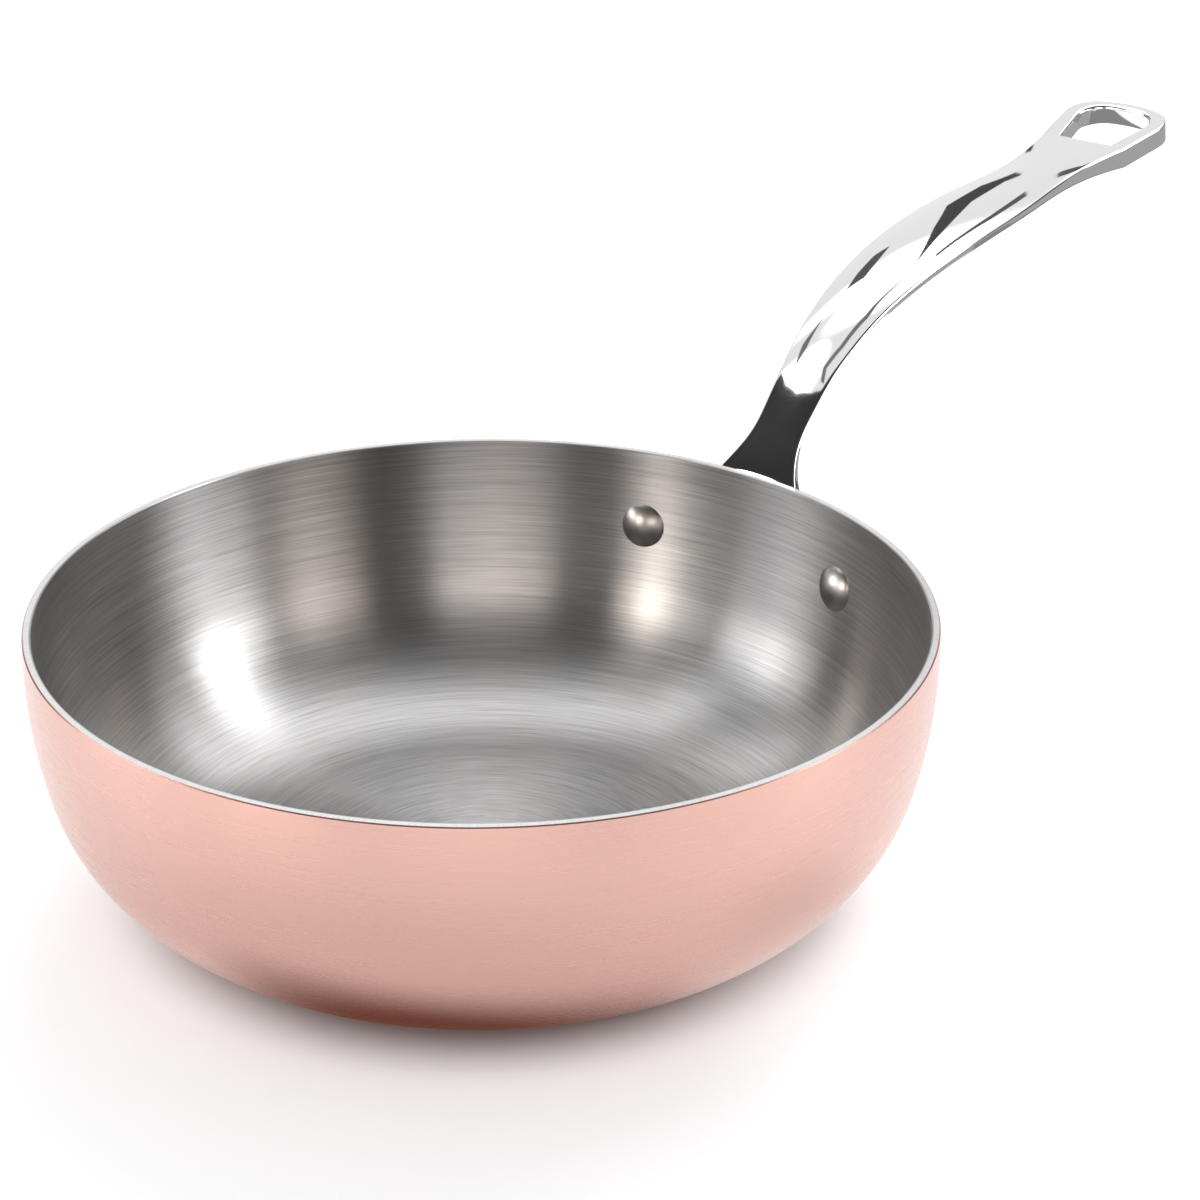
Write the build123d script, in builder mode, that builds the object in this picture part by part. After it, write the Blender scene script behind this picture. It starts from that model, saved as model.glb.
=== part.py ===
from build123d import *
import os
from math import acos, asin, atan2, cos, degrees, hypot, radians, sin

# A saucier pan: a bowl of three bonded metal layers, a cast handle riveted to its wall, and two rivets.
# Millimetres. The origin is the middle of the underside, +Z is up, and the handle runs along +X.

# Pan body
rim_radius = 121.5          # outside of the rim
pan_height = 80.0
corner_radius = 52.0        # outside of the round corner between base and wall
corner_turn = 76.0          # degrees the corner turns before the slower curve of the wall
wall_run_out = 3.6          # how far the rim stands outside the top of the corner
copper_thickness = 0.4
core_thickness = 1.4
lining_thickness = 0.5
rim_bevel = 0.25            # on the copper's cut edge and on the lining's inner lip

# Rivets
rivet_spacing = 73.0        # between the two rivet axes, on the outside of the wall
rivet_drop = 24.0           # from the rim down to the rivet axes, on the outside of the wall
rivet_shank_radius = 3.0
rivet_hole_clearance = 0.05
inner_head_radius = 6.7
inner_head_height = 3.0
outer_head_radius = 5.6
outer_head_height = 1.8
head_edge = 0.5             # straight side of a head, below its dome

# Flange of the handle, which lies against the outside of the wall
flange_thickness = 4.5
flange_ear_radius = 11.5    # round ends of the flange, about the rivet axes
flange_waist_rise = 2.0     # how far the lower edge arches up between the ears
flange_rim_drop = 2.5       # from the rim down to the flange's upper edge
flange_edge_round = 1.2
throat_width = 30.0         # across the flange's upper edge, where it meets the neck
throat_slope = 50.0         # degrees the throat leans out there
shoulder_slope = 15.0       # degrees the shoulder falls towards the ear

# Grip of the handle
handle_reach = 208.5        # from the outside of the rim to the tip
handle_rise = 70.8          # from the rim up to the top of the tip
grip_width = 30.4
grip_thickness = 8.6

# Stations of the neck and grip, from inside the flange to the end plate. Each lies at a share of the reach
# and of the rise, and its section is given by shares of the grip's width and thickness: the crown above the
# top edge, the straight side and the belly below.
reach_shares = (-0.021, -0.020, 0.008, 0.043, 0.079, 0.1175, 0.161, 0.213, 0.290, 0.377, 0.482, 0.597, 0.712, 0.808)
rise_shares = (-0.42, -0.20, 0.010, 0.133, 0.250, 0.368, 0.474, 0.566, 0.657, 0.725, 0.777, 0.815, 0.851, 0.892)
width_shares = (1.18, 1.30, 0.84, 0.59, 0.575, 0.61, 0.69, 0.765, 0.87, 0.96, 1.0, 0.935, 0.80, 0.89)
crown_shares = (0.05, 0.05, 0.04, 0.04, 0.05, 0.08, 0.15, 0.24, 0.32, 0.36, 0.35, 0.29, 0.19, 0.06)
side_shares = (0.60, 0.60, 0.35, 0.27, 0.26, 0.27, 0.30, 0.32, 0.32, 0.31, 0.30, 0.33, 0.44, 0.66)
belly_shares = (0.20, 0.66, 0.55, 0.50, 0.48, 0.46, 0.42, 0.38, 0.34, 0.33, 0.34, 0.34, 0.28, 0.13)

# End plate with its hanging eye
plate_slope = 11.9          # degrees above level
plate_length = 30.6
plate_width = 38.8          # across the corners, before they are rounded
plate_root_width = 30.8
plate_end_bulge = 5.2
plate_corner_radius = 10.5
plate_thickness = 7.0
eye_length = 30.6
eye_border = 3.8            # metal left between the eye and the tip
eye_inner_width = 16.6
eye_outer_width = 28.0
eye_end_bulge = 3.0
eye_inner_corner_radius = 6.5
eye_outer_corner_radius = 8.0
eye_edge_bevel = 0.9        # round the upper edge of the eye
bevel_slope = 45.0

overrun = 10.0              # how far every cut runs past what it cuts
half_turn = 180.0

wall_thickness = copper_thickness + core_thickness + lining_thickness


# The pan's outline is one curve, and every layer is the same curve moved inwards
turn = radians(corner_turn)
knee_radius = rim_radius - wall_run_out
base_radius = knee_radius - corner_radius * sin(turn)
knee_height = corner_radius * (1 - cos(turn))
chord = hypot(wall_run_out, pan_height - knee_height)
chord_angle = atan2(pan_height - knee_height, wall_run_out)
wall_radius = chord / (2 * sin(chord_angle - turn))
wall_centre_x = knee_radius - wall_radius * sin(turn)
wall_centre_z = knee_height + wall_radius * cos(turn)


# Profiles are drawn on the side away from the handle, so that no seam runs under it
profile_plane = Plane(origin=(0, 0, 0), x_dir=(-1, 0, 0), z_dir=(0, 1, 0))


def corner_point(inset, angle):
    reach = corner_radius - inset
    return (base_radius + reach * sin(angle), corner_radius - reach * cos(angle))


def wall_point(inset, angle):
    reach = wall_radius - inset
    return (wall_centre_x + reach * sin(angle), wall_centre_z - reach * cos(angle))


def wall_angle(inset, height):
    return acos((wall_centre_z - height) / (wall_radius - inset))


def bowl_curve(inset):
    lip_angle = wall_angle(inset, pan_height)
    foot = (base_radius, inset)
    knee = corner_point(inset, turn)
    lip = wall_point(inset, lip_angle)
    Line((0, inset), foot)
    ThreePointArc(foot, corner_point(inset, turn / 2), knee)
    ThreePointArc(knee, wall_point(inset, (turn + lip_angle) / 2), lip)
    return lip


def bowl_space(inset):
    with BuildPart() as space:
        with BuildSketch(profile_plane):
            with BuildLine():
                lip = bowl_curve(inset)
                Polyline(lip, (0, pan_height), (0, inset))
            make_face()
        revolve(axis=Axis.Z)
    return space.part


def layer_outline(outer_inset, inner_inset):
    outer_lip = bowl_curve(outer_inset)
    inner_lip = bowl_curve(inner_inset)
    Line(outer_lip, inner_lip)
    Line((0, outer_inset), (0, inner_inset))


# Each rivet stands square to the wall, at its own place around the pan
rivet_height = pan_height - rivet_drop
rivet_angle = wall_angle(0, rivet_height)
rivet_wall_radius = wall_point(0, rivet_angle)[0]
rivet_azimuth = asin(rivet_spacing / 2 / rivet_wall_radius)


def rivet_plane(side):
    azimuth = side * rivet_azimuth
    place = (rivet_wall_radius * cos(azimuth), rivet_wall_radius * sin(azimuth), rivet_height)
    outward = (sin(rivet_angle) * cos(azimuth), sin(rivet_angle) * sin(azimuth), -cos(rivet_angle))
    return Plane(origin=place, x_dir=(-sin(azimuth), cos(azimuth), 0), z_dir=outward)


rivet_planes = [rivet_plane(-1), rivet_plane(1)]


def rivet_bars(radius):
    with BuildPart() as bars:
        for plane in rivet_planes:
            with BuildSketch(plane):
                Circle(radius)
            extrude(amount=wall_thickness + flange_thickness + overrun, both=True)
    return bars.part


rivet_holes = rivet_bars(rivet_shank_radius + rivet_hole_clearance)


# Copper skin, the outermost layer
with BuildPart() as copper_shell:
    with BuildSketch(profile_plane) as copper_profile:
        with BuildLine():
            layer_outline(0, copper_thickness)
        make_face()
        chamfer(copper_profile.vertices().group_by(Axis.Y)[-1].sort_by(Axis.X)[-1], rim_bevel)
    revolve(axis=Axis.Z)
    add(rivet_holes, mode=Mode.SUBTRACT)
copper_shell.part.label = "copper_shell"

# Aluminium core, bonded between the copper and the steel
with BuildPart() as aluminium_core:
    with BuildSketch(profile_plane):
        with BuildLine():
            layer_outline(copper_thickness, copper_thickness + core_thickness)
        make_face()
    revolve(axis=Axis.Z)
    add(rivet_holes, mode=Mode.SUBTRACT)
aluminium_core.part.label = "aluminium_core"

# Stainless lining, the cooking surface
with BuildPart() as steel_lining:
    with BuildSketch(profile_plane) as lining_profile:
        with BuildLine():
            layer_outline(copper_thickness + core_thickness, wall_thickness)
        make_face()
        chamfer(lining_profile.vertices().group_by(Axis.Y)[-1].sort_by(Axis.X)[0], rim_bevel)
    revolve(axis=Axis.Z)
    add(rivet_holes, mode=Mode.SUBTRACT)
steel_lining.part.label = "steel_lining"

# The flange's outline, seen from behind the handle: an ear round each rivet, a shoulder that slopes up
# towards the neck, and a throat that is one slow curve from the shoulder into the neck
ear_y = rivet_spacing / 2
slope = radians(shoulder_slope)
throat_turn = radians(throat_slope)
flange_top = pan_height - flange_rim_drop
flange_bottom = rivet_height - flange_ear_radius
ear_top = (ear_y + flange_ear_radius * sin(slope), rivet_height + flange_ear_radius * cos(slope))
throat_top = (throat_width / 2, flange_top)
shoulder_fall = flange_top - ear_top[1] - (ear_top[0] - throat_top[0]) * sin(slope) / cos(slope)
throat_radius = shoulder_fall * cos(slope) / (1 - cos(throat_turn - slope))

# The line of the top edge from inside the flange to the root of the end plate
top_line = []
for reach_share, rise_share in zip(reach_shares, rise_shares):
    top_line.append(Vector(rim_radius + handle_reach * reach_share, 0, pan_height + handle_rise * rise_share))
tip = Vector(rim_radius + handle_reach, 0, pan_height + handle_rise)
plate_direction = Vector(cos(radians(plate_slope)), 0, sin(radians(plate_slope)))
plate_root = tip - plate_direction * plate_length
plate_plane = Plane(origin=plate_root, x_dir=plate_direction, z_dir=plate_direction.cross(Vector(0, 1, 0)))
top_line.append(plate_root)


section_planes = []
for index, place in enumerate(top_line[:-1]):
    direction = top_line[index + 1] - top_line[max(index - 1, 0)]
    section_planes.append(Plane(origin=place, x_dir=(0, 1, 0), z_dir=direction))
section_planes.append(Plane(origin=plate_root, x_dir=(0, 1, 0), z_dir=plate_direction))


# Handle: one casting. The flange is left too thick on its inner side, and the seat is cut last, in one pass
# through flange and neck, so that it lies on the copper all over.
with BuildPart() as handle:
    with BuildSketch(Plane.YZ):
        with BuildLine():
            Line((0, flange_top), throat_top)
            throat_start = (cos(throat_turn), -sin(throat_turn))
            throat = JernArc(throat_top, throat_start, throat_radius, throat_slope - shoulder_slope)
            shoulder = Line(throat @ 1, ear_top)
            ear = JernArc(ear_top, shoulder % 1, flange_ear_radius, shoulder_slope - half_turn)
            mirror(about=Plane.YZ)
            ThreePointArc((ear_y, flange_bottom), (0, flange_bottom + flange_waist_rise), (-ear_y, flange_bottom))
        make_face()
    extrude(amount=rim_radius + flange_thickness + overrun)
    add(bowl_space(-flange_thickness), mode=Mode.INTERSECT)
    outer_kinds = (GeomType.REVOLUTION, GeomType.TORUS)
    outer_faces = handle.faces().filter_by(lambda face: face.geom_type in outer_kinds)
    side_edges = (handle.faces() - outer_faces).edges()
    outer_rim = [edge for edge in outer_faces.edges() if any(edge.is_same(other) for other in side_edges)]
    fillet(outer_rim, flange_edge_round)
    add(bowl_space(wall_thickness), mode=Mode.SUBTRACT)

    for index, width_share in enumerate(width_shares):
        half_width = grip_width * width_share / 2
        crown = grip_thickness * crown_shares[index]
        side = grip_thickness * side_shares[index]
        belly = grip_thickness * belly_shares[index]
        with BuildSketch(section_planes[index]):
            with BuildLine():
                ThreePointArc((half_width, 0), (0, crown), (-half_width, 0))
                Line((-half_width, 0), (-half_width, -side))
                ThreePointArc((-half_width, -side), (0, -side - belly), (half_width, -side))
                Line((half_width, -side), (half_width, 0))
            make_face()
    with BuildSketch(section_planes[-1]):
        with Locations((0, -plate_thickness / 2)):
            Rectangle(plate_root_width, plate_thickness)
    loft()

    with BuildSketch(plate_plane) as plate_outline:
        with BuildLine():
            plate_corner = plate_length - plate_end_bulge
            Polyline(
                (plate_corner, plate_width / 2),
                (0, plate_root_width / 2),
                (0, -plate_root_width / 2),
                (plate_corner, -plate_width / 2),
            )
            ThreePointArc((plate_corner, -plate_width / 2), (plate_length, 0), (plate_corner, plate_width / 2))
        make_face()
        fillet(plate_outline.vertices().group_by(Axis.X)[-1], plate_corner_radius)
    extrude(amount=-plate_thickness)

    with BuildSketch(plate_plane) as eye_outline:
        with BuildLine():
            eye_tip = plate_length - eye_border
            eye_root = eye_tip - eye_length
            eye_corner = eye_tip - eye_end_bulge
            Polyline(
                (eye_corner, eye_outer_width / 2),
                (eye_root, eye_inner_width / 2),
                (eye_root, -eye_inner_width / 2),
                (eye_corner, -eye_outer_width / 2),
            )
            ThreePointArc((eye_corner, -eye_outer_width / 2), (eye_tip, 0), (eye_corner, eye_outer_width / 2))
        make_face()
        fillet(eye_outline.vertices().group_by(Axis.X)[0], eye_inner_corner_radius)
        fillet(eye_outline.vertices().group_by(Axis.X)[-1], eye_outer_corner_radius)
    extrude(amount=plate_thickness + overrun, both=True, mode=Mode.SUBTRACT)
    with BuildSketch(plate_plane.offset(eye_edge_bevel)):
        add(eye_outline.sketch_local)
        offset(amount=2 * eye_edge_bevel)
    extrude(amount=-2 * eye_edge_bevel, taper=bevel_slope, mode=Mode.SUBTRACT)
    add(bowl_space(0), mode=Mode.SUBTRACT)
    add(rivet_holes, mode=Mode.SUBTRACT)
handle.part.label = "handle"

# Rivets: a domed head on the lining, a shank through wall and flange, and a flatter dome outside. Each head
# is turned on its rivet's axis and cut to the curved face that it was pressed against.
def rivet_profile_plane(plane):
    return Plane(origin=plane.origin, x_dir=plane.x_dir, z_dir=-plane.y_dir)


def head_outline(direction, seat, head_radius, head_height):
    edge = direction * (seat + head_edge)
    crest = direction * (seat + head_height)
    dome_height = head_height - head_edge
    dome_radius = (head_radius**2 + dome_height**2) / (2 * dome_height)
    half_angle = asin(head_radius / dome_radius) / 2
    bend = (dome_radius * sin(half_angle), crest - direction * dome_radius * (1 - cos(half_angle)))
    Polyline((0, crest), (0, 0), (head_radius, 0), (head_radius, edge))
    ThreePointArc((head_radius, edge), bend, (0, crest))


with BuildPart() as inner_heads:
    for plane in rivet_planes:
        with BuildSketch(rivet_profile_plane(plane)):
            with BuildLine():
                head_outline(-1, wall_thickness, inner_head_radius, inner_head_height)
            make_face()
        revolve(axis=Axis(plane.origin, plane.z_dir))
    add(bowl_space(wall_thickness), mode=Mode.INTERSECT)

with BuildPart() as outer_heads:
    for plane in rivet_planes:
        with BuildSketch(rivet_profile_plane(plane)):
            with BuildLine():
                head_outline(1, flange_thickness, outer_head_radius, outer_head_height)
            make_face()
        revolve(axis=Axis(plane.origin, plane.z_dir))
    add(bowl_space(-flange_thickness), mode=Mode.SUBTRACT)

with BuildPart() as rivets:
    for plane in rivet_planes:
        with BuildSketch(plane):
            Circle(rivet_shank_radius)
        extrude(amount=flange_thickness + head_edge)
        with BuildSketch(plane):
            Circle(rivet_shank_radius)
        extrude(amount=-wall_thickness - head_edge)
    add(inner_heads)
    add(outer_heads)
rivets.part.label = "rivets"

os.makedirs("parts", exist_ok=True)
export_step(copper_shell.part, "parts/copper_shell.step")
export_step(aluminium_core.part, "parts/aluminium_core.step")
export_step(steel_lining.part, "parts/steel_lining.step")
export_step(handle.part, "parts/handle.step")
export_step(rivets.part, "parts/rivets.step")
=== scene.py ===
from math import acos, asin, atan2, cos, hypot, pi, radians, sin, sqrt, tan

import bmesh
import bpy
import numpy as np
from mathutils import Matrix, Vector
from mathutils.geometry import tessellate_polygon


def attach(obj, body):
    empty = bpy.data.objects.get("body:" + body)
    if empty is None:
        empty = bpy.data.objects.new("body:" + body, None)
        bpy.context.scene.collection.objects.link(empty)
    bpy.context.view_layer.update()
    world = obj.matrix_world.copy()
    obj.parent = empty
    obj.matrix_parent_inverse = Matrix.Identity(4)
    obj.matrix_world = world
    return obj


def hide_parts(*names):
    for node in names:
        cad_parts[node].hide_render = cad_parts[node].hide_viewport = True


# A saucier pan. Metres, Z up: the origin is the middle of the underside, and the handle runs along +X.
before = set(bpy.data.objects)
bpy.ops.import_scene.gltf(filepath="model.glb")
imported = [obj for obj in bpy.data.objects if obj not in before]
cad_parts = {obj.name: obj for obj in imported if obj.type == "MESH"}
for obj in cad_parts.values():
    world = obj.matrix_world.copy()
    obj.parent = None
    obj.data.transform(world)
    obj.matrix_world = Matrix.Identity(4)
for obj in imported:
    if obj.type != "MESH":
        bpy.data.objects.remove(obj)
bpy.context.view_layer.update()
print("stage: frame loaded")


# An sRGB hex value, made the linear colour that the nodes take
def linear(code):
    parts = [int(code[i:i + 2], 16) / 255 for i in (0, 2, 4)]
    return [p / 12.92 if p <= 0.04045 else ((p + 0.055) / 1.055) ** 2.4 for p in parts] + [1.0]


# One node with its settings. Its inputs are given by number or by name, and each is a value, another node's
# socket, or a node that stands for its own first output.
def addNode(tree, kind, inputs=(), **settings):
    node = tree.nodes.new(kind)
    for key, value in settings.items():
        setattr(node, key, value)
    pairs = inputs.items() if isinstance(inputs, dict) else enumerate(inputs)
    for key, value in pairs:
        if isinstance(value, bpy.types.Node):
            value = value.outputs[0]
        if isinstance(value, bpy.types.NodeSocket):
            tree.links.new(value, node.inputs[key])
        else:
            node.inputs[key].default_value = value
    return node


def startMaterial(name):
    material = bpy.data.materials.new(name)
    material.use_nodes = True
    material.node_tree.nodes.clear()
    return material, material.node_tree


def finishMetal(tree, inputs):
    shader = addNode(tree, "ShaderNodeBsdfPrincipled", {"Metallic": 1.0, **inputs})
    addNode(tree, "ShaderNodeOutputMaterial", [shader])


def addPiece(name, mesh, material=None):
    piece = bpy.data.objects.new(name, mesh)
    bpy.context.scene.collection.objects.link(piece)
    if material:
        mesh.materials.append(material)
    return piece


# Camera: solved from the rim, the bowl's outline and the rivets. Azimuth and reach place it round the pan's
# axis, at that height, and heading, pitch and roll turn it. Angles are in degrees.
cameraValues = {
    "lens": 85.0, "sensor": 36.0, "nearest": 0.01,
    "azimuth": -138.0, "reach": 0.6882, "height": 0.3979,
    "heading": 39.414, "pitch": 24.701, "roll": 0.456,
}


def placeCamera(v):
    azimuth, heading = radians(v["azimuth"]), radians(v["heading"])
    pitch, roll = radians(v["pitch"]), radians(v["roll"])
    forward = Vector((cos(heading) * cos(pitch), sin(heading) * cos(pitch), -sin(pitch)))
    level = Vector((sin(heading), -cos(heading), 0))
    upright = level.cross(forward)
    right = level * cos(roll) + upright * sin(roll)
    up = upright * cos(roll) - level * sin(roll)
    camera = addPiece("camera", bpy.data.cameras.new("camera"))
    camera.data.lens = v["lens"]
    camera.data.sensor_width = v["sensor"]
    camera.data.clip_start = v["nearest"]
    camera.matrix_world = Matrix((
        (right.x, up.x, -forward.x, v["reach"] * cos(azimuth)),
        (right.y, up.y, -forward.y, v["reach"] * sin(azimuth)),
        (right.z, up.z, -forward.z, v["height"]),
        (0, 0, 0, 1),
    ))
    bpy.context.scene.camera = camera


placeCamera(cameraValues)

# Bowl: the outline of the solids, with every layer set in from it
panValues = {
    "rimRadius": 0.1215, "height": 0.080, "cornerRadius": 0.052, "cornerTurn": 76.0, "wallRunOut": 0.0036,
    "copper": 0.0004, "core": 0.0014, "lining": 0.0005,             # thickness of the layers
    "bevel": 0.00025, "lipEase": 0.00002,                           # on the copper's edge and the inner lip
    "baseSteps": 4, "cornerSteps": 40, "wallSteps": 20, "turns": 256,
    "weld": 0.000002, "sharpAngle": 30.0,
}

# the wall's slower curve starts at the knee, where the round corner has made its turn
cornerTurn = radians(panValues["cornerTurn"])
kneeRadius = panValues["rimRadius"] - panValues["wallRunOut"]
kneeHeight = panValues["cornerRadius"] * (1 - cos(cornerTurn))
baseRadius = kneeRadius - panValues["cornerRadius"] * sin(cornerTurn)
wallRise = panValues["height"] - kneeHeight
wallLean = atan2(wallRise, panValues["wallRunOut"])
wallRadius = hypot(panValues["wallRunOut"], wallRise) / (2 * sin(wallLean - cornerTurn))
wallCentreX = kneeRadius - wallRadius * sin(cornerTurn)
wallCentreZ = kneeHeight + wallRadius * cos(cornerTurn)
coreFace = panValues["copper"] + panValues["core"]
wallThickness = coreFace + panValues["lining"]


# The wall's turn at a height, and its distance from the axis there, for a surface set in by so much
def wallAngle(inset, height):
    return acos((wallCentreZ - height) / (wallRadius - inset))


def wallReach(inset, height):
    return wallCentreX + sqrt((wallRadius - inset) ** 2 - (wallCentreZ - height) ** 2)


# From the middle of the base to the rim, or to a drop below it
def bowlProfile(v, inset, drop):
    points = [(baseRadius * i / v["baseSteps"], inset) for i in range(v["baseSteps"])]
    reach = v["cornerRadius"] - inset
    for i in range(v["cornerSteps"] + 1):
        angle = cornerTurn * i / v["cornerSteps"]
        points.append((baseRadius + reach * sin(angle), v["cornerRadius"] - reach * cos(angle)))
    reach = wallRadius - inset
    last = wallAngle(inset, v["height"] - drop)
    for i in range(1, v["wallSteps"] + 1):
        angle = cornerTurn + (last - cornerTurn) * i / v["wallSteps"]
        points.append((wallCentreX + reach * sin(angle), wallCentreZ - reach * cos(angle)))
    return points


# Up the outer face of a layer, across its cut edge and down its inner face
def layerProfile(v, outer, inner, outerBevel, innerBevel):
    top = v["height"]
    outerLip = wallReach(outer, top) - outerBevel
    innerLip = wallReach(inner, top) + innerBevel
    edge = [(outerLip - v["lipEase"], top), (innerLip + v["lipEase"], top)]
    if outerBevel:
        edge.insert(0, (outerLip, top))
    if innerBevel:
        edge.append((innerLip, top))
    return bowlProfile(v, outer, outerBevel) + edge + bowlProfile(v, inner, innerBevel)[::-1]


# Geometry nodes that turn a profile about the Z axis: a grid whose rows take the places of its points
def makeLatheTree():
    tree = bpy.data.node_groups.new("turned profile", "GeometryNodeTree")
    sockets = {"Profile": "Geometry", "Turns": "Int", "Weld": "Float", "Material": "Material"}
    for name, kind in sockets.items():
        tree.interface.new_socket(name, in_out="INPUT", socket_type="NodeSocket" + kind)
    tree.interface.new_socket("Turned", in_out="OUTPUT", socket_type="NodeSocketGeometry")
    given = addNode(tree, "NodeGroupInput").outputs
    size = addNode(tree, "GeometryNodeAttributeDomainSize", {"Geometry": given["Profile"]})
    count = size.outputs["Point Count"]
    length = addNode(tree, "ShaderNodeMath", [count, 1], operation="SUBTRACT")
    columns = addNode(tree, "ShaderNodeMath", [given["Turns"], 1], operation="ADD")
    grid = addNode(tree, "GeometryNodeMeshGrid", {
        "Size X": length, "Size Y": 1, "Vertices X": count, "Vertices Y": columns,
    })
    # the grid is centred, so half its size is added to count its rows from 0 and its turn from 0 to 1
    position = addNode(tree, "GeometryNodeInputPosition")
    onGrid = addNode(tree, "ShaderNodeSeparateXYZ", [position]).outputs
    half = addNode(tree, "ShaderNodeMath", [length, 2], operation="DIVIDE")
    along = addNode(tree, "ShaderNodeMath", [onGrid["X"], half], operation="ADD")
    row = addNode(tree, "ShaderNodeMath", [along], operation="ROUND")
    share = addNode(tree, "ShaderNodeMath", [onGrid["Y"], 0.5], operation="ADD")
    angle = addNode(tree, "ShaderNodeMath", [share, 2 * pi], operation="MULTIPLY")
    sample = addNode(tree, "GeometryNodeSampleIndex", {
        "Geometry": given["Profile"], "Value": position, "Index": row,
    }, data_type="FLOAT_VECTOR", domain="POINT")
    point = addNode(tree, "ShaderNodeSeparateXYZ", [sample]).outputs
    level = []
    for operation in ("COSINE", "SINE"):
        part = addNode(tree, "ShaderNodeMath", [angle], operation=operation)
        level.append(addNode(tree, "ShaderNodeMath", [point["X"], part], operation="MULTIPLY"))
    place = addNode(tree, "ShaderNodeCombineXYZ", level + [point["Z"]])
    turned = addNode(tree, "GeometryNodeSetPosition", {"Geometry": grid, "Position": place})
    welded = addNode(tree, "GeometryNodeMergeByDistance", {"Geometry": turned, "Distance": given["Weld"]})
    smooth = addNode(tree, "GeometryNodeSetShadeSmooth", {"Geometry": welded})
    real = addNode(tree, "GeometryNodeRealizeInstances", {"Geometry": smooth})
    painted = addNode(tree, "GeometryNodeSetMaterial", {"Geometry": real, "Material": given["Material"]})
    addNode(tree, "NodeGroupOutput", {"Turned": painted})
    return tree


# A piece made by a tree from a profile, as a plain mesh without its modifier
def turnPiece(name, profile, tree, inputs):
    mesh = bpy.data.meshes.new(name)
    mesh.from_pydata([(x, 0, z) for x, z in profile], [(i, i + 1) for i in range(len(profile) - 1)], [])
    piece = addPiece(name, mesh)
    modifier = piece.modifiers.new("turned", "NODES")
    modifier.node_group = tree
    for socket in tree.interface.items_tree:
        if socket.in_out == "INPUT" and socket.name in inputs:
            modifier[socket.identifier] = inputs[socket.name]
    piece.update_tag()
    bpy.context.view_layer.update()
    graph = bpy.context.evaluated_depsgraph_get()
    baked = bpy.data.meshes.new_from_object(piece.evaluated_get(graph))
    piece.modifiers.clear()
    piece.data = baked
    return piece


# Where a point of a turned piece lies: along the outline, as its radius plus its height, and round the axis,
# as a turn in radians
def turnedPlace(tree):
    place = addNode(tree, "ShaderNodeTexCoord").outputs["Object"]
    axes = addNode(tree, "ShaderNodeSeparateXYZ", [place]).outputs
    flat = addNode(tree, "ShaderNodeVectorMath", [place, (1, 1, 0)], operation="MULTIPLY")
    radius = addNode(tree, "ShaderNodeVectorMath", [flat], operation="LENGTH").outputs["Value"]
    along = addNode(tree, "ShaderNodeMath", [radius, axes["Z"]], operation="ADD")
    around = addNode(tree, "ShaderNodeMath", [axes["Y"], axes["X"]], operation="ARCTAN2")
    return along, around


brushNoise = {"Scale": 1.0, "Roughness": 0.6}       # the place is scaled already, so the noise is not
noiseSpan = {"From Min": 0.25, "From Max": 0.75}    # nearly all values of a noise lie between these


# Noise drawn out into rings: so many lines to the millimetre, and so many strokes to a radian of turn
def brushLines(tree, place, lines, strokes, detail):
    scale = (1000 * lines, strokes, 0)
    stretched = addNode(tree, "ShaderNodeVectorMath", [place, scale], operation="MULTIPLY")
    return addNode(tree, "ShaderNodeTexNoise", {"Vector": stretched, "Detail": detail, **brushNoise})


# Metal with lines brushed round the Z axis. The quarter turn draws its highlights out across the lines.
def finishBrushed(tree, v, bright, inputs):
    low, high = v["roughness"]
    rough = addNode(tree, "ShaderNodeMapRange", {"Value": bright, "To Min": low, "To Max": high})
    tangent = addNode(tree, "ShaderNodeTangent", direction_type="RADIAL", axis="Z")
    finishMetal(tree, {
        "Roughness": rough, "Tangent": tangent,
        "Anisotropic": v["anisotropic"], "Anisotropic Rotation": 0.25,
        **inputs,
    })


# Copper sheet, pressed and then polished on the wheel: a pink metal with broad, soft highlights and the
# faintest rings. Real polishing lines are some 20 to the millimetre, so these are drawn much coarser.
copperValues = {
    "colour": "D6AB9F", "roughness": (0.271, 0.279), "anisotropic": 0.3,
    "lines": 0.8, "strokes": 1.5, "detail": 1.0,
}


def copperMaterial(v):
    material, tree = startMaterial("polished copper sheet")
    place = addNode(tree, "ShaderNodeCombineXYZ", turnedPlace(tree))
    rings = brushLines(tree, place, v["lines"], v["strokes"], v["detail"])
    bright = addNode(tree, "ShaderNodeMapRange", {"Value": rings, **noiseSpan})
    finishBrushed(tree, v, bright, {"Base Color": linear(v["colour"])})
    return material


# Stainless steel, brushed in rings while the bowl turned: each lamp is smeared across the lines, into a long
# bright band from the rim to the floor with fine streaks in it. Real brush lines are some 10 to the
# millimetre, so both sets are drawn coarser.
liningValues = {
    "darkLine": "8C8B8B", "brightLine": "CBCACA", "roughness": (0.275, 0.3), "anisotropic": 0.97,
    "fineLines": 2.4, "fineStrokes": 4.0, "fineDetail": 2.0,
    "broadLines": 1.1, "broadStrokes": 2.0, "broadDetail": 3.0,
    "groove": 0.0002, "grooveStrength": 0.06,
}


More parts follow.
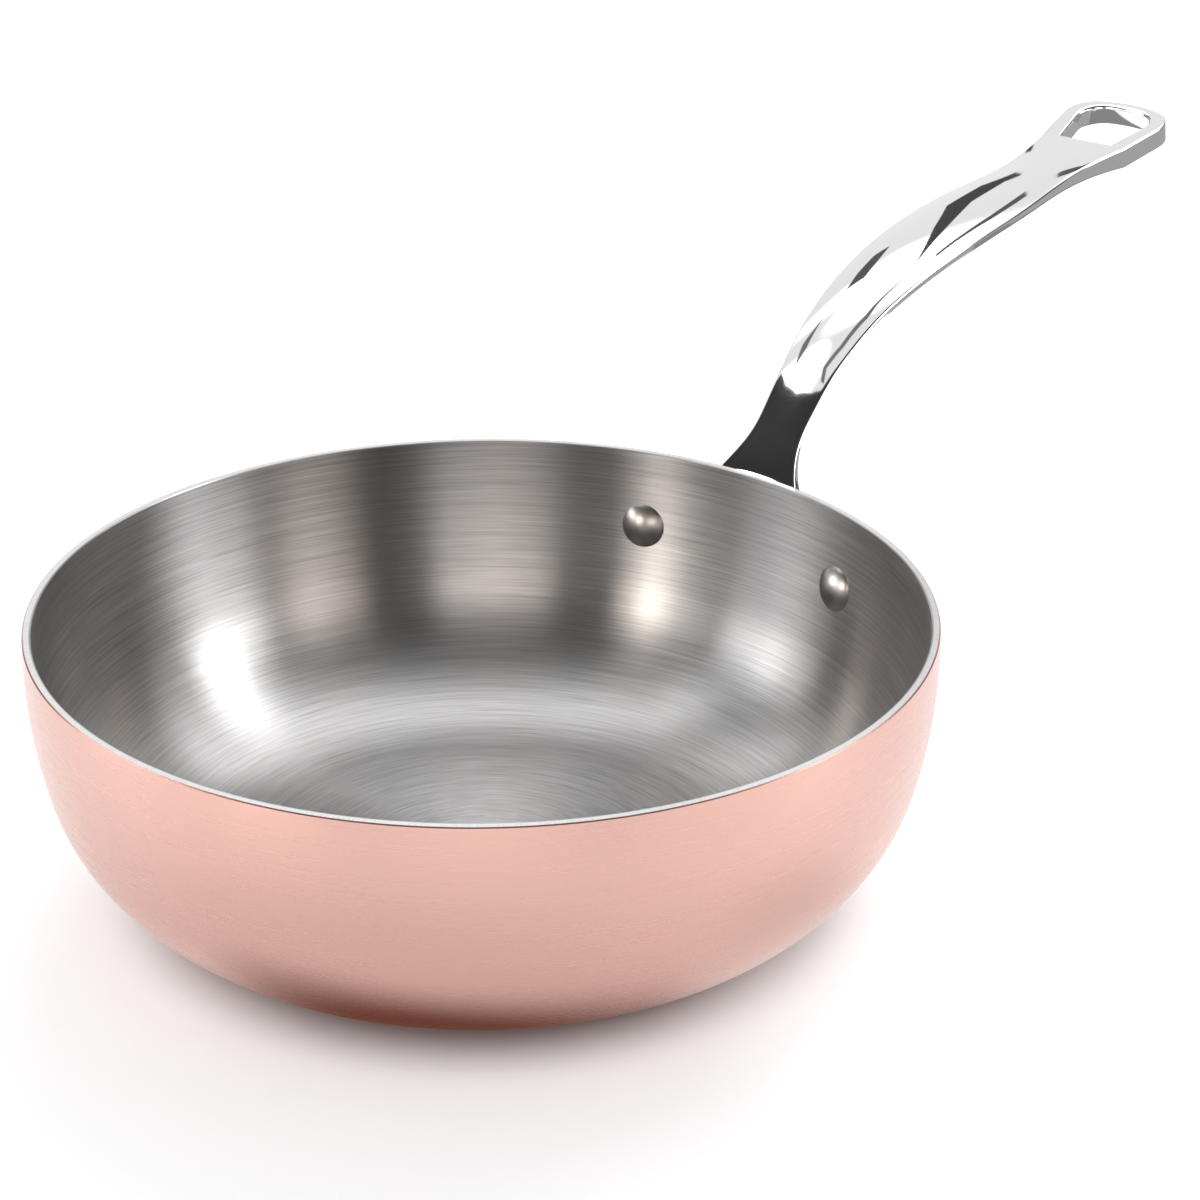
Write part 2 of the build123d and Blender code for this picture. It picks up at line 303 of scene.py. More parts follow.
def liningMaterial(v):
    material, tree = startMaterial("ring brushed stainless steel")
    place = addNode(tree, "ShaderNodeCombineXYZ", turnedPlace(tree))
    fine, broad = (
        brushLines(tree, place, v[kind + "Lines"], v[kind + "Strokes"], v[kind + "Detail"])
        for kind in ("fine", "broad")
    )
    both = addNode(tree, "ShaderNodeMath", [fine, broad], operation="ADD")
    lines = addNode(tree, "ShaderNodeMath", [both, 0.5], operation="MULTIPLY")
    bright = addNode(tree, "ShaderNodeMapRange", {"Value": lines, **noiseSpan})
    colour = addNode(tree, "ShaderNodeMix", {
        0: bright, 6: linear(v["darkLine"]), 7: linear(v["brightLine"]),
    }, data_type="RGBA")
    grooves = addNode(tree, "ShaderNodeBump", {
        "Strength": v["grooveStrength"], "Distance": v["groove"], "Height": lines,
    })
    finishBrushed(tree, v, bright, {"Base Color": colour.outputs[2], "Normal": grooves})
    return material


# Aluminium, seen only where the rim was cut and ground: a pale strip with fine scores across it, drawn as
# fine as a ground edge has them.
coreValues = {
    "darkScore": "BFBFC1", "brightScore": "EAEAEC", "roughness": 0.3,
    "scoreWidth": 0.000135, "scoreLength": 0.00333, "detail": 2.0,
}


def coreMaterial(v):
    material, tree = startMaterial("ground aluminium edge")
    along, around = turnedPlace(tree)
    place = addNode(tree, "ShaderNodeCombineXYZ", [around, along])
    scale = (panValues["rimRadius"] / v["scoreWidth"], 1 / v["scoreLength"], 0)
    scored = addNode(tree, "ShaderNodeVectorMath", [place, scale], operation="MULTIPLY")
    scores = addNode(tree, "ShaderNodeTexNoise", {"Vector": scored, "Scale": 1.0, "Detail": v["detail"]})
    bright = addNode(tree, "ShaderNodeMapRange", {"Value": scores, **noiseSpan})
    colour = addNode(tree, "ShaderNodeMix", {
        0: bright, 6: linear(v["darkScore"]), 7: linear(v["brightScore"]),
    }, data_type="RGBA")
    finishMetal(tree, {"Base Color": colour.outputs[2], "Roughness": v["roughness"]})
    return material


lathe = makeLatheTree()
copper, bevel = panValues["copper"], panValues["bevel"]
layers = (
    ("copperShell", "copper_shell", "copper", copperMaterial(copperValues),
     (0, copper, bevel, 0)),
    ("aluminiumCore", "aluminium_core", "core_aluminium", coreMaterial(coreValues),
     (copper, coreFace, 0, 0)),
    ("steelLining", "steel_lining", "lining_steel", liningMaterial(liningValues),
     (coreFace, wallThickness, 0, bevel)),
)
for name, node, slot, material, faces in layers:
    piece = turnPiece(name, layerProfile(panValues, *faces), lathe, {
        "Turns": panValues["turns"], "Weld": panValues["weld"], "Material": material,
    })
    piece.data.set_sharp_from_angle(angle=radians(panValues["sharpAngle"]))
    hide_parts(node)
    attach(piece, "root")
print("stage: bowl")

# Handle: the casting's own stations, drawn as one smooth skin
handleValues = {
    "reach": 0.2085, "rise": 0.0708,                # from the rim out to the tip, and up to it
    "width": 0.0304, "thickness": 0.0086,           # of the grip
    # stations from inside the flange to the end plate: places as shares of the reach and the rise, then the
    # width as a share of the grip's, and the crown, straight side and belly as shares of its thickness
    "stations": (
        (-0.021, -0.42, 1.18, 0.05, 0.60, 0.20),
        (-0.020, -0.20, 1.30, 0.05, 0.60, 0.66),
        (0.008, 0.010, 0.84, 0.04, 0.35, 0.55),
        (0.043, 0.133, 0.59, 0.04, 0.27, 0.50),
        (0.079, 0.250, 0.575, 0.05, 0.26, 0.48),
        (0.1175, 0.368, 0.61, 0.08, 0.27, 0.46),
        (0.161, 0.474, 0.69, 0.15, 0.30, 0.42),
        (0.213, 0.566, 0.765, 0.24, 0.32, 0.38),
        (0.290, 0.657, 0.87, 0.32, 0.32, 0.34),
        (0.377, 0.725, 0.96, 0.36, 0.31, 0.33),
        (0.482, 0.777, 1.0, 0.35, 0.30, 0.34),
        (0.597, 0.815, 0.935, 0.29, 0.33, 0.34),
        (0.712, 0.851, 0.80, 0.19, 0.44, 0.28),
        (0.808, 0.892, 0.89, 0.06, 0.66, 0.13),
    ),
    "edgeRound": 0.0007, "edgeRoundShare": 0.45,    # the share is the most of a side that a round may take
    "footGap": 0.0002,                              # between the wall and the neck's foot, within the flange
    "plateSlope": 11.9, "plateLength": 0.0306, "plateThickness": 0.007,
    "plateRootWidth": 0.0308, "plateWidth": 0.0388, "plateBulge": 0.0052, "plateCorner": 0.0105,
    "eyeLength": 0.0306, "eyeBorder": 0.0038, "eyeInnerWidth": 0.0166, "eyeOuterWidth": 0.028,
    "eyeBulge": 0.003, "eyeInnerCorner": 0.0065, "eyeOuterCorner": 0.008, "eyeRound": 0.0012,
    "rows": 200, "crownCount": 33, "sideCount": 4, "roundCount": 7, "arcCount": 201,
    "startCount": 6, "flankCount": 14, "cornerCount": 24, "tipCount": 16,
    "weld": 0.000004, "sharpAngle": 40.0,
}

# Cast stainless steel, buffed to a mirror: it shows the lamps and flags of the studio as hard-edged streaks
castFinish = {"name": "mirror polished cast steel", "colour": "E2E2E2", "roughness": 0.045}

# Stainless steel wire, headed cold and then tumbled: a darker grey with one soft highlight on each dome
rivetFinish = {"name": "satin steel rivet", "colour": "A5A29F", "roughness": 0.34}


def plainSteel(finish):
    material, tree = startMaterial(finish["name"])
    finishMetal(tree, {"Base Color": linear(finish["colour"]), "Roughness": finish["roughness"]})
    return material


# Points and faces gathered for one mesh
class Skin:
    def __init__(self):
        self.points, self.faces = [], []

    def add(self, points):
        first = len(self.points)
        self.points += [tuple(p) for p in points]
        return list(range(first, len(self.points)))

    # faces between each row of points and the next
    def sweep(self, rows, closed):
        for a, b in zip(rows, rows[1:]):
            for i in range(len(a) if closed else len(a) - 1):
                j = (i + 1) % len(a)
                self.faces.append((a[i], a[j], b[j], b[i]))

    def mesh(self, name):
        mesh = bpy.data.meshes.new(name)
        mesh.from_pydata(self.points, [], self.faces)
        mesh.validate()
        mesh.shade_smooth()
        return mesh


def linePoints(start, end, count):
    return start + np.linspace(0, 1, count)[:, None] * (end - start)


def turnPoints(centre, radius, first, last, count):
    turns = np.linspace(first, last, count)
    return centre + radius * np.stack([np.cos(turns), np.sin(turns)], 1)


# The arc from start to end whose middle stands so far off the chord
def archPoints(start, end, rise, count):
    start, end = np.array(start), np.array(end)
    if not rise:
        return linePoints(start, end, count)
    half = np.linalg.norm(end - start) / 2
    across = (end - start) / (2 * half)
    normal = np.array((across[1], -across[0])) * np.sign(rise)
    radius = (half * half + rise * rise) / (2 * abs(rise))
    centre = (start + end) / 2 + normal * (abs(rise) - radius)
    turns = np.linspace(-1, 1, count) * asin(half / radius)
    return centre + radius * (np.outer(np.sin(turns), across) + np.outer(np.cos(turns), normal))


# Evenly spaced points along a curve, without a stretch at each of its ends
def trimmedPoints(curve, stretch, count):
    length = np.concatenate([[0], np.cumsum(np.linalg.norm(np.diff(curve, axis=0), axis=1))])
    at = np.linspace(stretch, length[-1] - stretch, count)
    return np.stack([np.interp(at, length, curve[:, k]) for k in (0, 1)], 1)


def roundPoints(start, corner, end, count):
    t = np.linspace(0, 1, count)[:, None]
    return (1 - t) ** 2 * start + 2 * t * (1 - t) * np.array(corner) + t ** 2 * end


# A section in (across, up): the top towards +Y, the right side, the underside and the left side
def sectionRing(v, half, crown, side, belly):
    edge = min(v["edgeRound"], side * v["edgeRoundShare"])
    top = archPoints((-half, 0), (half, 0), -crown, v["arcCount"])
    under = archPoints((half, -side), (-half, -side), -belly, v["arcCount"])
    top, under = (trimmedPoints(curve, edge, v["crownCount"]) for curve in (top, under))
    sideTop, sideFoot = np.array((half, -edge)), np.array((half, -side + edge))
    right = np.concatenate([
        roundPoints(top[-1], (half, 0), sideTop, v["roundCount"])[1:],
        linePoints(sideTop, sideFoot, v["sideCount"] + 2)[1:-1],
        roundPoints(sideFoot, (half, -side), under[0], v["roundCount"])[:-1],
    ])
    return np.concatenate([top, right, under, right[::-1] * (-1, 1)])


# Rows of a natural cubic spline that passes through the rows given
def splineRows(places, rows, at):
    n = len(places)
    h = np.diff(places)
    matrix, right = np.zeros((n, n)), np.zeros(rows.shape)
    matrix[0, 0] = matrix[-1, -1] = 1.0
    for i in range(1, n - 1):
        matrix[i, i - 1:i + 2] = h[i - 1], 2 * (h[i - 1] + h[i]), h[i]
        right[i] = 6 * ((rows[i + 1] - rows[i]) / h[i] - (rows[i] - rows[i - 1]) / h[i - 1])
    bend = np.linalg.solve(matrix, right.reshape(n, -1)).reshape(right.shape)
    i = np.clip(np.searchsorted(places, at) - 1, 0, n - 2)
    step, a, b = (
        value.reshape(-1, 1, 1) for value in (h[i], (places[i + 1] - at) / h[i], (at - places[i]) / h[i])
    )
    line = a * rows[i] + b * rows[i + 1]
    return line + ((a ** 3 - a) * bend[i] + (b ** 3 - b) * bend[i + 1]) * step ** 2 / 6


# The grip's rows, the root of the end plate and the plate's direction
def gripRows(v):
    rim, top = panValues["rimRadius"], panValues["height"]
    slope = radians(v["plateSlope"])
    plateAlong = np.array((cos(slope), 0, sin(slope)))
    line, sizes = [], []
    for reach, rise, width, crown, side, belly in v["stations"]:
        line.append(np.array((rim + v["reach"] * reach, 0, top + v["rise"] * rise)))
        depths = [v["thickness"] * share for share in (crown, side, belly)]
        sizes.append((v["width"] * width / 2, *depths))
    root = np.array((rim + v["reach"], 0, top + v["rise"])) - plateAlong * v["plateLength"]
    line.append(root)
    sizes.append((v["plateRootWidth"] / 2, 0.0, v["plateThickness"], 0.0))
    # each section stands square on the line between its neighbours, and the last on the plate
    directions = [ahead - behind for ahead, behind in zip(line[1:], line[:1] + line)] + [plateAlong]
    rings = []
    for place, direction, size in zip(line, directions, sizes):
        upright = np.cross(direction / np.linalg.norm(direction), (0, 1, 0))
        ring = sectionRing(v, *size)
        rings.append(place + np.outer(ring[:, 0], (0, 1, 0)) + np.outer(ring[:, 1], upright))
    steps = np.linalg.norm(np.diff(line, axis=0), axis=1)
    places = np.concatenate([[0], np.cumsum(steps)])
    rows = splineRows(places, np.array(rings), np.linspace(0, places[-1], v["rows"]))
    # below the rim the foot is kept outside the wall
    for point in rows.reshape(-1, 3):
        if point[2] < top:
            reach = wallReach(-v["footGap"], point[2])
            if hypot(point[0], point[1]) < reach:
                point[0] = sqrt(reach ** 2 - point[1] ** 2)
    return rows, root, plateAlong


# Half an outline in (along, across), from the start round to the middle of the tip: a straight flank, a
# rounded corner and a bulging tip. A start corner adds the straight start and its rounded corner.
def halfOutline(v, start, tip, startHalf, tipHalf, bulge, startCorner, tipCorner):
    shoulder = np.array((start, startHalf))
    flank = np.array((tip - bulge, tipHalf)) - shoulder
    flank = flank / np.linalg.norm(flank)
    inward = np.array((flank[1], -flank[0]))
    flankTurn = atan2(-inward[1], -inward[0])
    points = [shoulder[None, :]]
    if startCorner:
        centre = shoulder + flank * startCorner * (1 - inward[0]) / flank[0] + inward * startCorner
        points = [
            linePoints(np.array((start, 0.0)), np.array((start, centre[1])), v["startCount"]),
            turnPoints(centre, startCorner, pi, flankTurn, v["cornerCount"]),
        ]
    # the tip's corner touches the flank and, from inside, the tip's arc
    radius = (tipHalf ** 2 + bulge ** 2) / (2 * bulge)
    centre = np.array((tip - radius, 0.0))
    offset = shoulder + inward * tipCorner - centre
    back = offset @ flank
    onFlank = sqrt(back ** 2 - offset @ offset + (radius - tipCorner) ** 2) - back
    corner = centre + offset + flank * onFlank
    tipTurn = atan2(*(corner - centre)[::-1])
    points += [
        linePoints(points[-1][-1], corner - inward * tipCorner, v["flankCount"])[1:-1],
        turnPoints(corner, tipCorner, flankTurn, tipTurn, v["cornerCount"]),
        turnPoints(centre, radius, tipTurn, 0, v["tipCount"])[1:],
    ]
    return np.concatenate(points)


# Outward normals of a loop that runs clockwise
def outwardNormals(loop, closed):
    ahead, behind = np.roll(loop, -1, 0), np.roll(loop, 1, 0)
    if not closed:
        ahead[-1], behind[0] = loop[-1], loop[0]
    along = ahead - behind
    along = along / np.linalg.norm(along, axis=1)[:, None]
    return np.stack([-along[:, 1], along[:, 0]], 1)


# How far a rounded edge stands out and how high it lies, from the flat face to the side
def roundedEdge(radius, count):
    turns = np.linspace(0, pi / 2, count)
    return [(radius * (1 - sin(a)), -radius * (1 - cos(a))) for a in turns]


def buildHandle(v):
    skin = Skin()
    rows, root, along = gripRows(v)
    upright = np.cross(along, (0, 1, 0))
    rings = [skin.add(row) for row in rows]
    skin.sweep(rings, True)
    skin.faces.append(tuple(rings[0]))

    def onPlate(place, height):
        return root + along * place[0] + np.array((0, 1, 0)) * place[1] + upright * height

    # the plate's edge: the last ring's right side, swept round the outline to its left side
    last, crown = rings[-1], v["crownCount"]
    foot = crown + 2 * (v["roundCount"] - 1) + v["sideCount"]
    top, right = last[:crown], last[crown - 1:foot + 1]
    under, left = last[foot:foot + crown], last[foot + crown - 1:] + last[:1]
    rootHalf = v["plateRootWidth"] / 2
    half = halfOutline(v, 0, v["plateLength"], rootHalf, v["plateWidth"] / 2, v["plateBulge"],
                       0, v["plateCorner"])
    outline = np.concatenate([half, half[-2::-1] * (1, -1)])
    normals = outwardNormals(outline, False)
    shape = [(skin.points[i][1] - rootHalf, (np.array(skin.points[i]) - root) @ upright) for i in right]
    edge = [
        skin.add([onPlate(place + normal * out, height) for out, height in shape])
        for place, normal in zip(outline[1:-1], normals[1:-1])
    ]
    skin.sweep([right] + edge + [left[::-1]], False)

    # the eye's wall, rounded at both ends
    eyeTip = v["plateLength"] - v["eyeBorder"]
    half = halfOutline(v, eyeTip - v["eyeLength"], eyeTip, v["eyeInnerWidth"] / 2, v["eyeOuterWidth"] / 2,
                       v["eyeBulge"], v["eyeInnerCorner"], v["eyeOuterCorner"])
    outline = np.concatenate([half, half[-2:0:-1] * (1, -1)])
    normals = outwardNormals(outline, True)
    shape = roundedEdge(v["eyeRound"], v["roundCount"])
    shape += [(out, -v["plateThickness"] - height) for out, height in shape[::-1]]
    eye = [
        skin.add([onPlate(place + normal * out, height) for place, normal in zip(outline, normals)])
        for out, height in shape
    ]
    skin.sweep(eye, True)

    # the plate's flat faces, with the eye as their hole
    faces = (
        (top + [row[0] for row in edge], eye[0]),
        (under[::-1] + [row[-1] for row in edge], eye[-1]),
    )
    for outer, hole in faces:
        loops = [[Vector(skin.points[i]) for i in loop] for loop in (outer, hole)]
        numbers = outer + hole
        skin.faces += [tuple(numbers[i] for i in triangle) for triangle in tessellate_polygon(loops)]
    return skin


# Flange: it lies against the wall, with an ear about each rivet
flangeValues = {
    "thickness": 0.0045, "earRadius": 0.0115, "waistRise": 0.002, "rimDrop": 0.0025, "edgeRound": 0.0012,
    "throatWidth": 0.030, "throatSlope": 50.0, "shoulderSlope": 15.0,
    "rivetSpacing": 0.073, "rivetDrop": 0.024,
    "upperCount": 12, "throatCount": 16, "shoulderCount": 8, "earCount": 28, "lowerCount": 24,
    "roundCount": 7, "frontCount": 9, "backCount": 6,
}
rivetHeight = panValues["height"] - flangeValues["rivetDrop"]
rivetOffset = flangeValues["rivetSpacing"] / 2


# Half the outline in (across, up), from the middle of the upper edge round the ear to that of the lower edge
def flangeOutline(v):
    slope, throat = radians(v["shoulderSlope"]), radians(v["throatSlope"])
    top, foot = panValues["height"] - v["rimDrop"], rivetHeight - v["earRadius"]
    ear = np.array((rivetOffset, rivetHeight))
    earTop = ear + v["earRadius"] * np.array((sin(slope), cos(slope)))
    throatTop = np.array((v["throatWidth"] / 2, top))
    fall = top - earTop[1] - (earTop[0] - throatTop[0]) * tan(slope)
    radius = fall * cos(slope) / (1 - cos(throat - slope))
    centre = throatTop + radius * np.array((sin(throat), cos(throat)))
    upper = linePoints(np.array((0.0, top)), throatTop, v["upperCount"])
    throatArc = turnPoints(centre, radius, -throat - pi / 2, -slope - pi / 2, v["throatCount"])
    earArc = turnPoints(ear, v["earRadius"], pi / 2 - slope, -pi / 2, v["earCount"])
    shoulder = linePoints(throatArc[-1], earArc[0], v["shoulderCount"])[1:-1]
    across = np.linspace(rivetOffset, 0, v["lowerCount"])[1:]
    lower = np.stack([across, foot + v["waistRise"] * (1 - (across / rivetOffset) ** 2)], 1)
    return np.concatenate([upper, throatArc[1:], shoulder, earArc, lower])


# A place in (across, up) on the surface that lies so far outside the wall
def onWall(place, out):
    y, z = place
    return (sqrt(wallReach(-out, z) ** 2 - y * y), y, z)


def buildFlange(skin, v):
    half = flangeOutline(v)
    outline = np.concatenate([half, half[-2:0:-1] * (-1, 1)])
    inward = -outwardNormals(outline, True)
    spine = np.full(outline.shape, rivetHeight)
    spine[:, 0] = np.clip(outline[:, 0], -rivetOffset, rivetOffset)
    edge, thickness = v["edgeRound"], v["thickness"]
    shape = [(inset, thickness + height) for inset, height in roundedEdge(edge, v["roundCount"])]
    shape = [(0.0, 0.0)] + shape[::-1]
    front = [skin.add([onWall(p + n * inset, out) for p, n in zip(outline, inward)]) for inset, out in shape]
    back = front[:1]
    # both faces close in on a line between the rivets
    flat = outline + inward * edge
    for share in np.linspace(0, 1, v["frontCount"])[1:]:
        front.append(skin.add([onWall(p, thickness) for p in flat + share * (spine - flat)]))
    for share in np.linspace(0, 1, v["backCount"])[1:]:
        back.append(skin.add([onWall(p, 0.0) for p in outline + share * (spine - outline)]))
    skin.sweep(front, True)
    skin.sweep(back, True)


# Merges doubled points, takes slivers out and turns every face outwards
def closeMesh(mesh, weld):
    shape = bmesh.new()
    shape.from_mesh(mesh)
    bmesh.ops.remove_doubles(shape, verts=shape.verts, dist=weld)
    bmesh.ops.dissolve_degenerate(shape, dist=weld / 2, edges=shape.edges)
    bmesh.ops.recalc_face_normals(shape, faces=shape.faces)
    shape.to_mesh(mesh)
    shape.free()


skin = buildHandle(handleValues)
buildFlange(skin, flangeValues)
handle = addPiece("castHandle", skin.mesh("castHandle"), plainSteel(castFinish))
closeMesh(handle.data, handleValues["weld"])
handle.data.shade_smooth()
handle.data.set_sharp_from_angle(angle=radians(handleValues["sharpAngle"]))
weighted = handle.modifiers.new("weighted", "WEIGHTED_NORMAL")
weighted.mode = "FACE_AREA"
weighted.keep_sharp = True
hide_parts("handle")
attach(handle, "root")
print("stage: handle", len(handle.data.polygons))

# Rivets: turned heads on a shank, one at each side of the handle
rivetValues = {
    "innerRadius": 0.0067, "innerHeight": 0.003, "outerRadius": 0.0056, "outerHeight": 0.0018,
    "shankRadius": 0.003, "edge": 0.0005,       # the edge is a head's straight side, below its dome
    "ease": 0.0001, "easeRise": 0.00002,        # where the dome meets the straight side
    "letIn": 0.0003,                            # how far a head goes into the curved wall
    "domeSteps": 14, "turns": 64, "sharpAngle": 50.0,
}


# From the middle of a dome out to its edge and down into the wall, on one side of it or the other
def headProfile(v, head, side, seat):
    radius, height = v[head + "Radius"], v[head + "Height"]
    dome, foot = height - v["edge"], seat + v["edge"]
    bend = (radius ** 2 + dome ** 2) / (2 * dome)
    angles = [asin(radius / bend) * i / v["domeSteps"] for i in range(v["domeSteps"])]
    points = [(bend * sin(a), seat + height - bend * (1 - cos(a))) for a in angles]
    points += [(radius - v["ease"], foot + v["easeRise"]), (radius, foot - v["ease"])]
    points.append((radius, seat - v["letIn"]))
    return [(x, side * z) for x, z in points]


def buildRivets(v, material):
    inner = headProfile(v, "inner", -1, wallThickness)
    outer = headProfile(v, "outer", 1, flangeValues["thickness"])
    shank = [(v["shankRadius"], inner[-1][1]), (v["shankRadius"], outer[-1][1])]
    rivets = turnPiece("rivets", inner + shank + outer[::-1], lathe, {
        "Turns": v["turns"], "Weld": panValues["weld"], "Material": material,
    })
    # each stands square on the wall at its own place
    tilt, reach = wallAngle(0, rivetHeight), wallReach(0, rivetHeight)
    skin = Skin()
    for side in (-1, 1):
        azimuth = side * asin(rivetOffset / reach)
        outward = Vector((sin(tilt) * cos(azimuth), sin(tilt) * sin(azimuth), -cos(tilt)))
        across = Vector((-sin(azimuth), cos(azimuth), 0))
        upward = outward.cross(across)
        foot = Vector((reach * cos(azimuth), reach * sin(azimuth), rivetHeight))
        places = [p.co for p in rivets.data.vertices]
        numbers = skin.add([foot + across * p.x + upward * p.y + outward * p.z for p in places])
        skin.faces += [tuple(numbers[i] for i in face.vertices) for face in rivets.data.polygons]
    rivets.data = skin.mesh("rivets")
    rivets.data.materials.append(material)
    rivets.data.set_sharp_from_angle(angle=radians(v["sharpAngle"]))
    return rivets


rivets = buildRivets(rivetValues, plainSteel(rivetFinish))
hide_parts("rivets")
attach(rivets, "root")
print("stage: rivets")

# Studio: a pale floor, a white surround, one soft lamp, and reflectors that only the metal shows. Its own
# directions are the camera's: X to the right of the bowl's middle, Y away behind it, Z above the floor.
studioValues = {
    "turn": -48.0,                                      # degrees from the pan's directions to the studio's
    "fill": 0.9,                                        # light of the white surround
    "floor": "C3C9CD", "floorRoughness": 0.6, "floorReach": 4.0,
    "paintedGlow": 0.46, "paintedGlowFrom": 0.082, "paintedGlowTo": 0.109,   # painted light: how brightly the floor glows where seen, and the radii over which the glow rises away from the pan
    "lampPlace": (0.5, 1.15, 1.35), "lampSize": (1.8, 0.9), "lampPower": 24.0,
    "fadeFrom": 0.2,                                    # share of a soft reflector that is at its full level
    "screenRadius": 2.2, "screenFoot": 0.02, "screenTop": 1.1, "screenPower": 12.0, "screenCount": 180,
    # screens round the table: place in degrees anticlockwise from the right, brightness and tint
    "screens": (
        (0, 7.0, "FFFFFF"), (8, 1.0, "FFFFFF"), (19, 0.1, "FFFFFF"), (43, 0.2, "FFFAF4"),
        (58, 0.5, "FFFFFF"), (70, 1.0, "FFFFFF"), (112, 1.0, "FFFFFF"), (122, 0.2, "FFFFFF"),
        (154, 0.1, "FFF8F0"), (164, 4.0, "FFFFFF"), (176, 9.0, "FFFFFF"), (188, 6.0, "FFFFFF"),
        (199, 1.5, "FFFFFF"), (210, 3.5, "FFF8F0"), (221, 12.0, "FFF4EA"), (227, 5.0, "FFF4EA"),
        (233, 0.2, "FFF4EC"), (245, 0.4, "FFF4EC"), (256, 3.5, "FFF4EA"), (266, 4.5, "FFF4EC"),
        (278, 3.8, "FFF6F0"), (289, 0.3, "FFF2E8"), (300, 0.2, "FFEEDD"), (311, 3.0, "FFF0E2"),
        (322, 4.5, "FFF2E8"), (333, 2.2, "FFF6F0"), (345, 7.0, "FFFFFF"), (354, 11.0, "FFFFFF"),
    ),
    # panels that face a point on the handle: direction, elevation, width and height in degrees, brightness
    "panelRadius": 1.9, "panelCentre": (0.12, 0.10, 0.10),
    "panels": (
        ("left lamp", 170, 46, 22, 34, 6.5),
        ("right lamp", 355, 27, 18, 32, 8.0),
        ("high right lamp", 17, 50, 18, 28, 6.0),
        ("far right lamp", 45, 54, 18, 22, 2.5),
        ("right low flag", 9, 4, 14, 44, 0.17),
        ("back lamp panel", 84, 52, 100, 26, 3.0),
        ("top lamp", 90, 70, 70, 30, 4.5),
    ),
    # narrow flags that the handle mirrors: brightness, then places along both edges in centimetres
    "flags": (
        ("neck flag", 0.04,
         ((-25.5, 24.5, 42.5), (-26, 18, 44.2), (-24.7, 12, 46.4), (-21.7, 7.3, 49), (-11.4, 0, 54)),
         ((-34, 28.5, 26.5), (-37, 20, 26.5), (-38, 13, 26.5), (-37, 3.5, 28), (-20.5, -10, 45))),
        ("lower leaf flag", 0.2,
         ((-3.2, 27.8, 33.5), (-8.5, 23, 32), (-11, 17, 31.7)),
         ((-3.2, 27.8, 33.5), (-8.5, 20.2, 33), (-11, 17, 31.7))),
        ("upper leaf flag", 0.12,
         ((10.4, 40.3, 28.7), (8, 40, 28), (5.3, 37, 30), (2.3, 33, 33)),
         ((10.4, 40.3, 28.7), (8.7, 37, 31.5), (6.4, 33, 34), (2.3, 33, 33))),
        ("crest flag", 0.08,
         ((15.4, 21, 26), (15.4, 27.5, 22.5), (15.7, 31.3, 18.8), (17.6, 33.4, 17.8), (19.2, 33.4, 18.8)),
         ((15.4, 20.5, 26), (16.6, 26, 23.5), (17.5, 30.5, 20.5), (19, 32.5, 19.5), (19.9, 32.9, 20))),
        ("first streak flag", 0.12,
         ((26.4, 42.8, 31.8), (25.8, 41.6, 30.5), (24.7, 37.4, 33.2), (21, 28.5, 38.5)),
         ((26.8, 42.2, 32.2), (26.9, 40.4, 31.3), (25.5, 36.2, 33.7), (21.6, 27.6, 38.8))),
        ("second streak flag", 0.2,
         ((-7, 8.2, 35), (-6.2, 10.3, 36), (-0.8, 11.6, 39), (8, 16, 41.5), (17.8, 24.7, 40.2)),
         ((-6.4, 7.4, 35.3), (-5.4, 9.3, 36.3), (0.2, 10.5, 39.3), (9.3, 14.6, 41.8), (18.1, 24.4, 40.2))),
    ),
    # level sheets: two corners, height, brightness, whether the edge is soft, and tint
    "sheets": (
        ("front ceiling", (-3.0, -3.0), (3.0, -0.1), 1.6, 0.08, False, "FFFFFF"),
        ("grey card", (0.42, -1.2), (2.2, 1.4), 0.003, 0.45, False, "FFFFFF"),
        # painted shade: a dim copper-red sheet under the front of the bowl, which the copper mirrors as
        # shaded floor
        ("low front card", (-0.098, -0.128), (0.068, -0.052), 0.0015, 0.27, True, "D08872"),
        # painted light: a soft white sheet under the right front of the bowl, which the copper mirrors over
        # shaded floor
        ("low right card", (0.04, -0.14), (0.16, -0.02), 0.002, 1.0, True, "FFFFFF"),
        ("eye card", (0.155, 0.17), (0.275, 0.27), 0.1, 0.3, False, "FFFFFF"),
    ),
}


def studioPoint(x, y, z):
    turn = radians(studioValues["turn"])
    return Vector((x * cos(turn) - y * sin(turn), x * sin(turn) + y * cos(turn), z))


# Stands a lamp or a panel at one point of the studio, facing another
def aim(piece, place, target):
    place, target = studioPoint(*place), studioPoint(*target)
    piece.location = place
    piece.rotation_euler = (target - place).to_track_quat("-Z", "Y").to_euler()


# 1 where the camera looks, straight or by way of metal or glass, and 0 for the light that falls on things
def seenInView(tree):
    path = addNode(tree, "ShaderNodeLightPath").outputs
    seen = path["Is Camera Ray"]
    for ray in ("Is Glossy Ray", "Is Transmission Ray"):
        seen = addNode(tree, "ShaderNodeMath", [seen, path[ray]], operation="MAXIMUM")
    return seen


# The surround is full white where it is seen, and gives a little less light than that
def makeSurround(v):
    world = bpy.data.worlds.new("studio")
    world.use_nodes = True
    tree = world.node_tree
    tree.nodes.clear()
    strength = addNode(tree, "ShaderNodeMath", [seenInView(tree), v["fill"]], operation="MAXIMUM")
    background = addNode(tree, "ShaderNodeBackground", {"Color": (1, 1, 1, 1), "Strength": strength})
    addNode(tree, "ShaderNodeOutputWorld", [background])
    bpy.context.scene.world = world


def rectangle(name, halfWidth, halfHeight):
    mesh = bpy.data.meshes.new(name)
    corners = [(x * halfWidth, y * halfHeight, 0) for x, y in ((-1, -1), (1, -1), (1, 1), (-1, 1))]
    mesh.from_pydata(corners, [], [(0, 1, 2, 3)])
    return mesh
